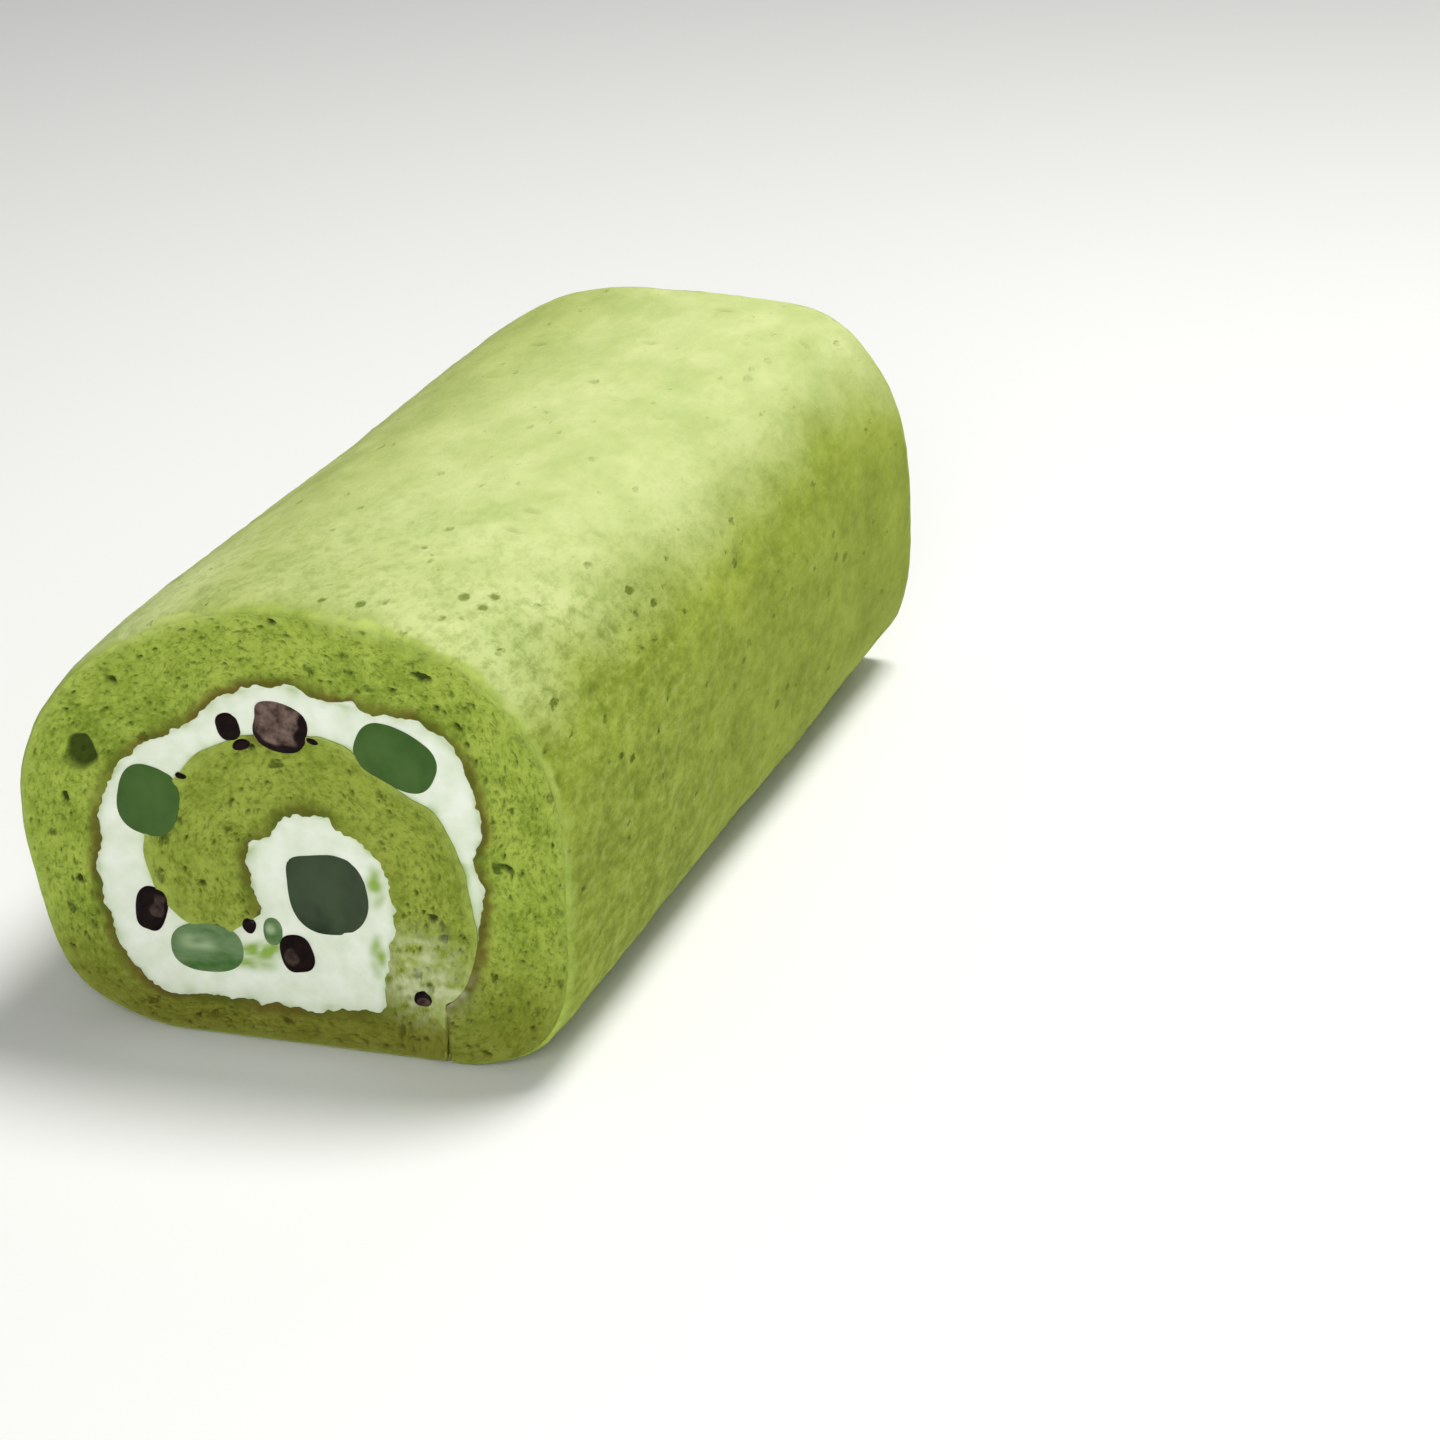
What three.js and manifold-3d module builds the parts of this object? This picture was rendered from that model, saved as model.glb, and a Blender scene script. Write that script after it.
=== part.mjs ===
// A green tea swiss roll cake, cut at both ends: a sheet of sponge spread with cream and rolled up,
// with lumps of green tea jelly and sweet red beans in the cream.
// Millimetres, +Z up, +Y along the roll from the shown cut end to the far one.
// The origin is under the middle of the roll, on the surface that it rests on.
import * as THREE from "three";
import { mergeVertices } from "three/addons/utils/BufferGeometryUtils.js";
import Module from "manifold-3d";

const wasm = await Module();
wasm.setup();

// Driving dimensions.
const rollWidth = 83;
const rollHeight = 65;
const rollLength = 170;
const widestLevel = 32; // height at which the roll is widest
const baseSink = 0.9; // how far the round outline is pressed flat into the base
const squareness = { upperRight: 2.4, upperLeft: 2.05, lowerLeft: 3.3, lowerRight: 4.5 };
const leftTuck = 1.6; // how far the left flank is drawn in below its widest level
const heart = new THREE.Vector2(4, 26); // the middle that every layer winds round
const layerGap = 0.3; // clearance between the cream and the sponge
const lumpGap = 0.3; // clearance round each lump

// Along the roll.
const sectionPlaces = [-85, -80.5, 0, 80.5, 85];
const cutEdgeDraw = 0.012; // the cut faces are smaller than the body by this share
const farEndSettle = 0.016; // the far end is lower than the shown one by this share
const farEndShoulder = 0.043; // and its shoulders are wider by this share
// Its top corners are squarer. Each stands out at its turn round the widest level, in mm at the reach.
const farEndCorners = { reach: 36, places: [{ turn: 50, out: 1.95, spread: 14 }, { turn: 119, out: 1.3, spread: 18 }] };

// The two sides of the rolled sheet, from its loose end at the seam to its tip in the heart.
// Each station is the turn in degrees, anticlockwise from +X, and how far out the side lies
// on the line from the heart to the roll's outline.
const skinSide = [
  [-55, 1], [0, 1], [90, 1], [180, 1], [270, 1], [290, 1], [300, 1], [305, 0.96], [310, 0.79],
  [315, 0.675], [330, 0.622], [345, 0.614], [360, 0.593], [375, 0.543], [390, 0.502], [405, 0.487],
  [420, 0.516], [430, 0.545], [450, 0.553], [480, 0.547], [510, 0.539], [540, 0.579], [555, 0.585],
  [570, 0.527], [585, 0.413],
];
const crustSide = [
  [-45, 0.69], [-30, 0.64], [-15, 0.65], [0, 0.64], [15, 0.676], [30, 0.724], [45, 0.743], [60, 0.7],
  [75, 0.69], [90, 0.722], [105, 0.714], [120, 0.684], [135, 0.646], [150, 0.682], [165, 0.712],
  [180, 0.731], [195, 0.768], [210, 0.778], [225, 0.807], [231, 0.809], [240, 0.77], [250, 0.767],
  [256, 0.791], [262, 0.784], [270, 0.772], [280, 0.759], [290, 0.746], [295, 0.724], [300, 0.628],
  [305, 0.512], [312, 0.416], [322, 0.342], [333, 0.312], [345, 0.297], [360, 0.282], [390, 0.222], [420, 0.228],
  [450, 0.256], [465, 0.256], [480, 0.231], [510, 0.21], [540, 0.237], [570, 0.24], [585, 0.272],
];
const turnStep = 5; // degrees between the points of the sheet's sides
const crag = { height: 0.5, turns: [13, 31] }; // waviness of the torn crust side, in mm and waves a turn

// The cream starts where the two layers of sponge part, and ends at the tip of the sheet.
const creamStart = 0;
const sheetTip = 585;
const tipClearance = 3.5; // turn between the tip of the sheet and the cream round it
const oneTurn = 360;

// Lumps that the knife has cut through their middle. Each has the x and z of its middle, its width,
// its height and its depth behind the cut, its tilt in degrees and how square it is.
const frontJelly = [
  { name: "jelly_front_heart", at: [5.4, 23.9], size: [12.2, 12, 8], tilt: 4, square: 3 },
  { name: "jelly_front_upper_right", at: [16.6, 45.6], size: [12.6, 8.4, 7], tilt: -24, square: 2.6 },
  { name: "jelly_front_left", at: [-21.3, 35.2], size: [9.6, 10.8, 8], tilt: -12, square: 2.4 },
  { name: "jelly_front_lower_left", at: [-13.7, 13.4], size: [11, 7.4, 7], tilt: 3, square: 2.3 },
  { name: "jelly_front_scrap", at: [-3.4, 16.9], size: [2.4, 4, 2.5], tilt: 0, square: 2.2 },
];
const frontBeans = [
  { name: "bean_front_top_small", at: [-8.1, 47.4], size: [3.7, 4.5, 5], tilt: 10, square: 2.2 },
  { name: "bean_front_top_large", at: [-0.2, 48.4], size: [8, 7.2, 4], tilt: -20, square: 2.4 },
  { name: "bean_front_left", at: [-22, 18.5], size: [5, 6.8, 4], tilt: -14, square: 2.4 },
  { name: "bean_front_bottom", at: [0.2, 14.1], size: [4.9, 5.5, 4], tilt: 12, square: 2.4 },
  { name: "bean_front_tip", at: [-6.9, 17.6], size: [2, 2.1, 2], tilt: 0, square: 2 },
  { name: "bean_front_bend", at: [19, 9.5], size: [2.7, 2.5, 2], tilt: 0, square: 2 },
];
const rearJelly = [
  { name: "jelly_rear_heart", at: [4.2, 21.6], size: [12.6, 10.4, 8], tilt: -20, square: 2.5 },
  { name: "jelly_rear_top", at: [-8.5, 47.6], size: [12, 7.4, 7], tilt: 18, square: 2.4 },
  { name: "jelly_rear_left", at: [-24, 23.5], size: [8.4, 10.6, 7], tilt: 4, square: 2.5 },
];
const rearBeans = [
  { name: "bean_rear_top", at: [9.6, 48.4], size: [6.4, 4.6, 4], tilt: -8, square: 2.3 },
  { name: "bean_rear_right", at: [25, 40.4], size: [4.4, 5.8, 4], tilt: 20, square: 2.3 },
  { name: "bean_rear_bottom", at: [-15.5, 10.2], size: [6.2, 4.6, 4], tilt: -10, square: 2.3 },
  { name: "bean_rear_heart", at: [6.4, 30.8], size: [5.4, 4.2, 4], tilt: 12, square: 2.3 },
];
const lumpSides = 14;
const lumpRings = 4;

const finishes = {
  sponge: { color: 0x93a944, roughness: 0.95, metalness: 0 },
  cream: { color: 0xe9eedd, roughness: 0.6, metalness: 0 },
  jelly: { color: 0x3f6530, roughness: 0.3, metalness: 0 },
  bean: { color: 0x2c1a1e, roughness: 0.35, metalness: 0 },
};

// The roll's outline at a turn: a superellipse with its own squareness in each quarter, flat below.
function outlinePoint(turn) {
  const angle = THREE.MathUtils.degToRad(turn);
  const right = Math.cos(angle) >= 0;
  const upper = Math.sin(angle) >= 0;
  const power = squareness[(upper ? "upper" : "lower") + (right ? "Right" : "Left")];
  const reach = upper ? rollHeight - widestLevel : widestLevel + baseSink;
  const across = Math.abs(Math.cos(angle) / (rollWidth / 2)) ** power;
  const up = Math.abs(Math.sin(angle) / reach) ** power;
  const radius = (across + up) ** (-1 / power);
  const point = new THREE.Vector2(radius * Math.cos(angle), widestLevel + radius * Math.sin(angle));
  point.y = Math.max(0, point.y);
  if (!right && !upper) {
    point.x += leftTuck * Math.sin((Math.PI * point.y) / widestLevel) ** 2;
  }
  return point;
}

// One side of the sheet as a function of the turn; offset moves it outwards, in millimetres.
function sideOfSheet(stations, waviness) {
  const turns = stations.map((station) => station[0]);
  const shares = stations.map((station) => station[1]);
  const curve = new THREE.CubicInterpolant(turns, shares, 1);
  const wave = (turn) => crag.turns.reduce((sum, n) => sum + Math.sin(THREE.MathUtils.degToRad(n * turn)), 0);
  const onSide = (turn) => {
    const reach = outlinePoint(turn).sub(heart);
    const share = Math.min(1, curve.evaluate(turn)[0]);
    return reach.setLength(share * reach.length() + (waviness * wave(turn)) / 2).add(heart);
  };
  return (turn, offset = 0) => {
    const along = onSide(turn + turnStep / 2).sub(onSide(turn - turnStep / 2));
    return onSide(turn).add(new THREE.Vector2(along.y, -along.x).setLength(offset));
  };
}

const skinAt = sideOfSheet(skinSide, 0);
const crustAt = sideOfSheet(crustSide, crag.height);

// Points of one side between two turns, in either direction.
function sidePoints(sideAt, from, to, offset = 0) {
  const count = Math.max(1, Math.round(Math.abs(to - from) / turnStep));
  return Array.from({ length: count + 1 }, (_, i) => sideAt(from + ((to - from) * i) / count, offset));
}

function sheetShape() {
  return new THREE.Shape([
    ...sidePoints(skinAt, skinSide[0][0], sheetTip),
    ...sidePoints(crustAt, sheetTip, crustSide[0][0]),
  ]);
}

function creamShape() {
  return new THREE.Shape([
    ...sidePoints(crustAt, creamStart, sheetTip, -layerGap),
    crustAt(sheetTip + tipClearance),
    skinAt(sheetTip + tipClearance),
    ...sidePoints(skinAt, sheetTip, creamStart + oneTurn, layerGap),
  ]);
}

// The roll isn't a true prism: its cut edges draw in a little, and it settles towards the far end.
function settle(point) {
  const along = point.y / rollLength + 0.5;
  const nearCut = Math.abs(point.y) > Math.abs(sectionPlaces[1]);
  const draw = nearCut ? 1 - cutEdgeDraw : 1;
  const height = point.z / rollHeight;
  const away = Math.hypot(point.x, point.z - widestLevel);
  const turn = THREE.MathUtils.radToDeg(Math.atan2(point.z - widestLevel, point.x));
  const corner = farEndCorners.places.reduce((sum, at) => sum + at.out * Math.exp(-(((turn - at.turn) / at.spread) ** 2)), 0);
  const out = away > 0 ? (corner * (along * (away / farEndCorners.reach)) ** 2) / away : 0;
  const x = point.x * (1 + farEndShoulder * along * THREE.MathUtils.smoothstep(height, 0.55, 0.9));
  const z = point.z * (1 - farEndSettle * along);
  point.x = draw * (x + out * point.x);
  point.z = draw * (z + out * (point.z - widestLevel));
  return point;
}

// A section carried along the whole roll.
function rolledGeometry(shape) {
  const steps = sectionPlaces.length - 1;
  const geometry = new THREE.ExtrudeGeometry(shape, { depth: steps, steps, bevelEnabled: false });
  geometry.rotateX(Math.PI / 2);
  const places = geometry.getAttribute("position");
  const point = new THREE.Vector3();
  for (let i = 0; i < places.count; i++) {
    point.fromBufferAttribute(places, i);
    point.y = sectionPlaces[steps + Math.round(point.y)];
    settle(point);
    places.setXYZ(i, point.x, point.y, point.z);
  }
  return geometry;
}

// Half of a rounded lump, flat on the cut face; a pocket for it is larger and stands out of the face.
function lumpGeometry(lump, end, grow, standOut) {
  const profile = Array.from({ length: lumpRings + 1 }, (_, i) => {
    const lift = (i / lumpRings) * (Math.PI / 2);
    return new THREE.Vector2(Math.sin(lift), -Math.cos(lift));
  });
  const geometry = new THREE.LatheGeometry([...profile, new THREE.Vector2(0, 0)], lumpSides);
  geometry.rotateX(end < 0 ? Math.PI : 0);
  const places = geometry.getAttribute("position");
  const [width, height, depth] = lump.size;
  const halfSize = new THREE.Vector3(width / 2 + grow, depth + grow, height / 2 + grow);
  const tilt = new THREE.Matrix4().makeRotationY(-THREE.MathUtils.degToRad(lump.tilt));
  const face = (end * rollLength) / 2;
  const middle = new THREE.Vector3(lump.at[0], face, lump.at[1]);
  const point = new THREE.Vector3();
  for (let i = 0; i < places.count; i++) {
    point.fromBufferAttribute(places, i);
    const around = Math.hypot(point.x, point.z);
    const square = (Math.abs(point.x) ** lump.square + Math.abs(point.z) ** lump.square) ** (1 / lump.square);
    const swell = square > 1e-6 ? around / square : 1;
    point.set(point.x * swell, point.y, point.z * swell).multiply(halfSize);
    point.applyMatrix4(tilt).add(middle);
    const onFace = Math.abs(point.y - face) < 1e-6;
    places.setXYZ(i, point.x, onFace ? face + end * standOut : point.y, point.z);
  }
  return geometry;
}

function toSolid(geometry) {
  const bare = new THREE.BufferGeometry().setAttribute("position", geometry.getAttribute("position"));
  bare.setIndex(geometry.index);
  const merged = mergeVertices(bare, 1e-4);
  return new wasm.Manifold(
    new wasm.Mesh({
      numProp: 3,
      vertProperties: new Float32Array(merged.getAttribute("position").array),
      triVerts: new Uint32Array(merged.index.array),
    }),
  );
}

function toGeometry(solid) {
  const mesh = solid.getMesh();
  const geometry = new THREE.BufferGeometry();
  geometry.setAttribute("position", new THREE.BufferAttribute(mesh.vertProperties, 3));
  geometry.setIndex(new THREE.BufferAttribute(mesh.triVerts, 1));
  geometry.computeVertexNormals();
  return geometry;
}

// The solid with a pocket for each lump, without the crumbs that a pocket may cut loose.
function withPockets(solid, pockets) {
  const cut = pockets.reduce((body, pocket) => body.subtract(pocket), solid);
  return cut.decompose().reduce((most, body) => (body.volume() > most.volume() ? body : most));
}

const materials = Object.fromEntries(
  Object.entries(finishes).map(([name, finish]) => [name, new THREE.MeshStandardMaterial(finish)]),
);

function namedMesh(name, geometry, material) {
  const mesh = new THREE.Mesh(geometry, material);
  mesh.name = name;
  return mesh;
}

const roll = new THREE.Group();
const lumpSets = [
  [frontJelly, -1, materials.jelly],
  [frontBeans, -1, materials.bean],
  [rearJelly, 1, materials.jelly],
  [rearBeans, 1, materials.bean],
];
const pockets = [];
for (const [lumps, end, material] of lumpSets) {
  for (const lump of lumps) {
    pockets.push(toSolid(lumpGeometry(lump, end, lumpGap, 1)));
    roll.add(namedMesh(lump.name, toGeometry(toSolid(lumpGeometry(lump, end, 0, 0))), material));
  }
}
const sheet = withPockets(toSolid(rolledGeometry(sheetShape())), pockets);
const cream = withPockets(toSolid(rolledGeometry(creamShape())), pockets);
roll.add(namedMesh("sponge_sheet", toGeometry(sheet), materials.sponge));
roll.add(namedMesh("cream_filling", toGeometry(cream), materials.cream));

export default roll;
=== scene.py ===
import bpy
import bmesh
import math
import random
import numpy as np
from mathutils import Matrix, Vector, noise


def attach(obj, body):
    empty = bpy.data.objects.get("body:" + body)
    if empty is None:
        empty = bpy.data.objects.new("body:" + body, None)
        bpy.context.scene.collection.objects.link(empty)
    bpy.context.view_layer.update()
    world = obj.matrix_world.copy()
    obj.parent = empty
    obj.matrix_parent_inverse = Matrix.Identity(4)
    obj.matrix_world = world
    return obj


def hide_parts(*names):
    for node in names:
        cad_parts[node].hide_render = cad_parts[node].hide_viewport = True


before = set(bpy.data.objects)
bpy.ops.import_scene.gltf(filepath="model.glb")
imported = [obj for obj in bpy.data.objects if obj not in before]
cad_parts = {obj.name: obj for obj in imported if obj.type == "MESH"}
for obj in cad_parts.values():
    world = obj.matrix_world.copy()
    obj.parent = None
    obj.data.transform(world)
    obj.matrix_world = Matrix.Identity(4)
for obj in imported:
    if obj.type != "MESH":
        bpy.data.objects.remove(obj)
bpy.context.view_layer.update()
scene = bpy.context.scene
mm = 0.001
print("frame loaded")

# The rolled form that every piece follows, in millimetres. A turn is in degrees, anticlockwise from
# the right, seen from the front. It goes round the roll's middle, and for the layers on past 360.
roll = {
    "width": 83,
    "height": 65,
    "length": 170,
    "widestLevel": 32,  # height at which the roll is widest
    "baseSink": 0.9,  # how far the round outline is pressed flat
    "squareness": {"upperRight": 2.4, "upperLeft": 2.05, "lowerRight": 4.5, "lowerLeft": 3.3},
    "leftTuck": 1.6,  # the left flank draws in below its widest level
    "heart": (4, 26),  # the layers wind round this point
    "cutEdgeDraw": 0.012,  # the cut faces are smaller than the body by this share
    "cutEdgeReach": 3,  # and the body swells to full size over about this length
    "farEndSettle": 0.016,  # the far end is lower by this share
    "farEndShoulder": 0.043,  # wider at its shoulders
    "shoulderFrom": 0.55,  # which start at this share of the height
    "shoulderRise": 0.35,  # and are full after this one
    "farEndCorners": [(50, 1.95, 14), (119, 1.3, 18)],  # and squarer: turn, out, spread
    "cornerReach": 36,
    "paleRim": [  # turn and share: how pale the skin is at its cut rim
        (-50, 0.1), (15, 0.3), (40, 0.4), (58, 0.35), (66, 0.7), (75, 0.8), (84, 0.1), (98, 0.3),
        (106, 0.5), (116, 1), (132, 0.9), (145, 0.4),
    ],
}
sheetStart = -50  # the sheet's loose end, at the seam underneath
sheetTip = 585  # and its other end, in the heart
layersPart = 306  # up to this turn the sheet's outer face is the roll's own skin

# The sheet's two sides: turn, and share of the way from the heart to the outline.
skinSide = [
    (-55, 1), (0, 1), (90, 1), (180, 1), (270, 1), (290, 1), (300, 1), (302.5, 0.998), (305, 0.984),
    (307.5, 0.893), (310, 0.819), (312.5, 0.749), (315, 0.688), (318, 0.6775), (321, 0.6655),
    (324, 0.6545), (327, 0.6445), (330, 0.6385), (334, 0.636), (338, 0.6375), (342, 0.63), (346, 0.614),
    (351, 0.608), (357, 0.595), (361, 0.588), (366, 0.573), (375, 0.543), (381, 0.535), (387, 0.52),
    (393, 0.489), (400, 0.485), (412, 0.497), (420, 0.515), (427, 0.541), (436, 0.55), (450, 0.553),
    (465, 0.55), (480, 0.547), (495, 0.546), (510, 0.539), (540, 0.579), (555, 0.585), (570, 0.527),
    (585, 0.413),
]
crustSide = [
    (-45, 0.69), (-30, 0.64), (-15, 0.65), (-9, 0.659), (-3, 0.645), (3, 0.631), (6, 0.645), (9, 0.667),
    (15, 0.676), (30, 0.724), (45, 0.743), (60, 0.699), (75, 0.69), (90, 0.722), (105, 0.714),
    (120, 0.684), (135, 0.646), (150, 0.682), (165, 0.712), (180, 0.731), (195, 0.768), (210, 0.778),
    (225, 0.807), (231, 0.809), (240, 0.77), (250, 0.765), (256, 0.791), (262, 0.784), (270, 0.772),
    (280, 0.759), (290, 0.747), (295, 0.73), (298, 0.69), (300, 0.628), (304.5, 0.525), (312, 0.416),
    (322, 0.342), (333, 0.312), (345, 0.297), (360, 0.282), (390, 0.222), (420, 0.228), (450, 0.256),
    (465, 0.256), (480, 0.231), (510, 0.21), (540, 0.237), (570, 0.24), (585, 0.272),
]
halfLength = roll["length"] / 2
fineTurns = 4000  # steps in which a side's length is measured


def lengthOf(vectors):
    return np.linalg.norm(vectors, axis=-1)


def outlineAt(turn):
    angle = np.radians(turn)
    right, upper = np.cos(angle) >= 0, np.sin(angle) >= 0
    square = roll["squareness"]
    power = np.select(
        [upper & right, upper, right],
        [square["upperRight"], square["upperLeft"], square["lowerRight"]],
        square["lowerLeft"],
    )
    reach = np.where(upper, roll["height"] - roll["widestLevel"], roll["widestLevel"] + roll["baseSink"])
    across = np.abs(np.cos(angle) / (roll["width"] / 2)) ** power
    radius = (across + np.abs(np.sin(angle) / reach) ** power) ** (-1 / power)
    x = radius * np.cos(angle)
    z = np.maximum(0, roll["widestLevel"] + radius * np.sin(angle))
    tuck = roll["leftTuck"] * np.sin(np.pi * z / roll["widestLevel"]) ** 2
    return np.stack([np.where(right | upper, x, x + tuck), z], -1)


def smoothStations(stations, turn):
    knots, values = np.array(stations, float).T
    slopes = np.gradient(values, knots)
    i = np.clip(np.searchsorted(knots, turn) - 1, 0, len(knots) - 2)
    gap = knots[i + 1] - knots[i]
    p = np.clip((turn - knots[i]) / gap, 0, 1)
    start = values[i] * (1 + 2 * p) * (1 - p) ** 2 + slopes[i] * gap * p * (1 - p) ** 2
    return start + values[i + 1] * p * p * (3 - 2 * p) - slopes[i + 1] * gap * p * p * (1 - p)


def straightStations(stations, turn):
    return np.interp(turn, *np.array(stations).T)


def sideAt(stations, turn):
    share = np.minimum(1, smoothStations(stations, turn))[..., None]
    return roll["heart"] + share * (outlineAt(turn) - roll["heart"])


def outwardAt(stations, turn):
    along = sideAt(stations, turn + 0.5) - sideAt(stations, turn - 0.5)
    outward = np.stack([along[..., 1], -along[..., 0]], -1)
    return outward / np.maximum(1e-9, lengthOf(outward))[..., None]


def settle(x, y, z):  # cut edges draw in, the roll sags and squares off towards its far end
    draw = 1 - roll["cutEdgeDraw"] * np.exp((np.abs(y) - halfLength) / roll["cutEdgeReach"])
    along = y / roll["length"] + 0.5
    lift = np.clip((z / roll["height"] - roll["shoulderFrom"]) / roll["shoulderRise"], 0, 1)
    shoulder = lift * lift * (3 - 2 * lift)
    up = z - roll["widestLevel"]
    turn, away = np.degrees(np.arctan2(up, x)), np.hypot(x, up)
    corner = sum(out * np.exp(-(((turn - at) / spread) ** 2)) for at, out, spread in roll["farEndCorners"])
    out = corner * (along * away / roll["cornerReach"]) ** 2 / np.maximum(1e-6, away)
    x = x * (1 + roll["farEndShoulder"] * along * shoulder + out)
    z = z * (1 - roll["farEndSettle"] * along) + out * up
    return x * draw, z * draw


def smooth01(value, low, high):
    p = np.clip((value - low) / (high - low), 0, 1)
    return p * p * (3 - 2 * p)


def falling(value, low, high):
    return 1 - smooth01(value, low, high)


def softNoise(points, size, seed):  # smooth noise of about -1 to 1 at each point, lumps of this size in mm
    shift = Vector((seed * 17.3, seed * 5.1, seed * 9.7))
    return np.array([noise.noise(Vector(p) / size + shift) for p in points.tolist()]) * 1.4


def cellNoise(points, size, seed):  # 0 at the middle of a bubble, rising to 1 at its walls
    shift = Vector((seed * 7.9, seed * 3.3, seed * 12.1))
    near = np.array([noise.voronoi(Vector(p) / size + shift)[0][:2] for p in points.tolist()])
    return 1 - np.minimum(1, (near[:, 1] - near[:, 0]) * 1.6)


def skinSwell(points):  # broad unevenness of the skin, in mm
    broad = softNoise(points * (1, 0.6, 1), 24, 3)
    lumpy = softNoise(points, 6, 4)
    grainy = softNoise(points, 1.8, 5)
    return 0.4 * broad + 0.12 * lumpy + 0.05 * grainy


def patchAt(x, z, patch, power=2):  # 1 inside a patch of the cut face, fading to 0 past its two radii
    middleX, middleZ, radiusX, radiusZ = patch
    return np.exp(-(((x - middleX) / radiusX) ** 2 + ((z - middleZ) / radiusZ) ** 2) ** power)


# Small helpers for meshes.


def coordsOf(mesh):
    flat = np.empty(len(mesh.vertices) * 3)
    mesh.vertices.foreach_get("co", flat)
    return flat.reshape(-1, 3)


def setCoords(mesh, x, y, z):
    coords = np.stack([x, y, z], -1) * mm
    mesh.vertices.foreach_set("co", np.ascontiguousarray(coords, dtype=float).ravel())
    mesh.update()


def giveAttribute(mesh, name, values):
    attribute = mesh.attributes.new(name, "FLOAT", "POINT")
    attribute.data.foreach_set("value", np.ascontiguousarray(values, dtype=float))


def newMesh(name, bm):
    mesh = bpy.data.meshes.new(name)
    bm.to_mesh(mesh)
    bm.free()
    return mesh


def finishPiece(mesh, name, material, nodes, sharpAngle=50):
    bm = bmesh.new()
    bm.from_mesh(mesh)
    bmesh.ops.remove_doubles(bm, verts=bm.verts, dist=1e-7)
    bmesh.ops.recalc_face_normals(bm, faces=bm.faces)
    bm.to_mesh(mesh)
    bm.free()
    mesh.polygons.foreach_set("use_smooth", [True] * len(mesh.polygons))
    mesh.set_sharp_from_angle(angle=math.radians(sharpAngle))
    piece = bpy.data.objects.new(name, mesh)
    scene.collection.objects.link(piece)
    mesh.materials.append(material)
    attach(piece, "root")
    if nodes:
        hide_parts(*nodes)
    print("made", name, len(mesh.polygons), "faces")


def layeredGrid(along, across, layers):  # a flat grid pulled through the roll in layers; z counts them
    bm = bmesh.new()
    bmesh.ops.create_grid(bm, x_segments=along, y_segments=across, size=0.5)
    faces = bm.faces[:]
    for layer in range(1, layers):
        pulled = bmesh.ops.extrude_face_region(bm, geom=faces)["geom"]
        if layer > 1:  # only the first and last layers keep their faces
            bmesh.ops.delete(bm, geom=faces, context="FACES")
        faces = [part for part in pulled if isinstance(part, bmesh.types.BMFace)]
        verts = [part for part in pulled if isinstance(part, bmesh.types.BMVert)]
        bmesh.ops.translate(bm, verts=verts, vec=(0, 0, 1))
    mesh = newMesh("layers", bm)
    grid = coordsOf(mesh)
    i = np.rint((grid[:, 0] + 0.5) * along).astype(int)
    j = np.rint((grid[:, 1] + 0.5) * across).astype(int)
    return mesh, i, j, np.rint(grid[:, 2]).astype(int)


# Small helpers for materials.


def linearColour(hexText):
    parts = [int(hexText[i : i + 2], 16) / 255 for i in (1, 3, 5)]
    return [c / 12.92 if c <= 0.04045 else ((c + 0.055) / 1.055) ** 2.4 for c in parts] + [1.0]


def newMaterial(name):
    material = bpy.data.materials.new(name)
    material.use_nodes = True
    material.node_tree.nodes.clear()
    return material


def addNode(material, kind, inputs=(), output=0, **settings):  # inputs by name, or a list in their order
    node = material.node_tree.nodes.new("ShaderNode" + kind)
    for key, value in settings.items():
        setattr(node, key, value)
    for key, value in inputs.items() if isinstance(inputs, dict) else enumerate(inputs):
        socket = node.inputs[key]
        if isinstance(value, bpy.types.NodeSocket):
            material.node_tree.links.new(value, socket)
        elif isinstance(value, str):
            socket.default_value = linearColour(value)
        else:
            socket.default_value = value
    return node.outputs[output] if node.outputs else node


def cloudsAt(material, place, scale, detail, roughness, low, high, least=0, most=1):  # soft blotches
    inputs = {"Vector": place, "Scale": scale, "Detail": detail, "Roughness": roughness}
    return addNode(material, "MapRange", [addNode(material, "TexNoise", inputs), low, high, least, most])


def overlaid(material, colour, *layers):  # colours laid over one another: share, colour and how it mixes
    for share, other, *blend in layers:
        inputs = {"Factor": share, 6: colour, 7: other}  # 6 and 7 are the two colours
        way = blend[0] if blend else "MIX"
        colour = addNode(material, "Mix", inputs, "Result", data_type="RGBA", blend_type=way)
    return colour


def nudged(material, place, jitterPlace, scale, reach):  # a place moved a little, so that no pore is round
    jitter = addNode(material, "TexNoise", {"Vector": jitterPlace, "Scale": scale, "Detail": 1}, "Color")
    return addNode(material, "VectorMath", [jitter, (reach, reach, reach), place], operation="MULTIPLY_ADD")


def poresAt(material, place, scale, crowd, chance, size, edge, share):  # share down in pits of many sizes
    cells = addNode(material, "TexVoronoi", {"Vector": place, "Scale": scale})
    pick = addNode(material, "SeparateColor", [cells.node.outputs["Color"]])
    picked = addNode(material, "Math", [pick, crowd], operation="ADD")
    radius = addNode(material, "MapRange", [picked, *chance, *size])
    inside = addNode(material, "Math", [radius, cells], operation="SUBTRACT")
    return addNode(material, "MapRange", [inside, *edge, 0, share])


def finishMaterial(material, look, height, strength, distance=0.0004, invert=False):
    inputs = {"Height": height, "Strength": strength, "Distance": distance}
    bumps = addNode(material, "Bump", inputs, invert=invert)
    surface = addNode(material, "BsdfPrincipled", {**look, "Normal": bumps})
    addNode(material, "OutputMaterial", [surface])
    return material


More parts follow.
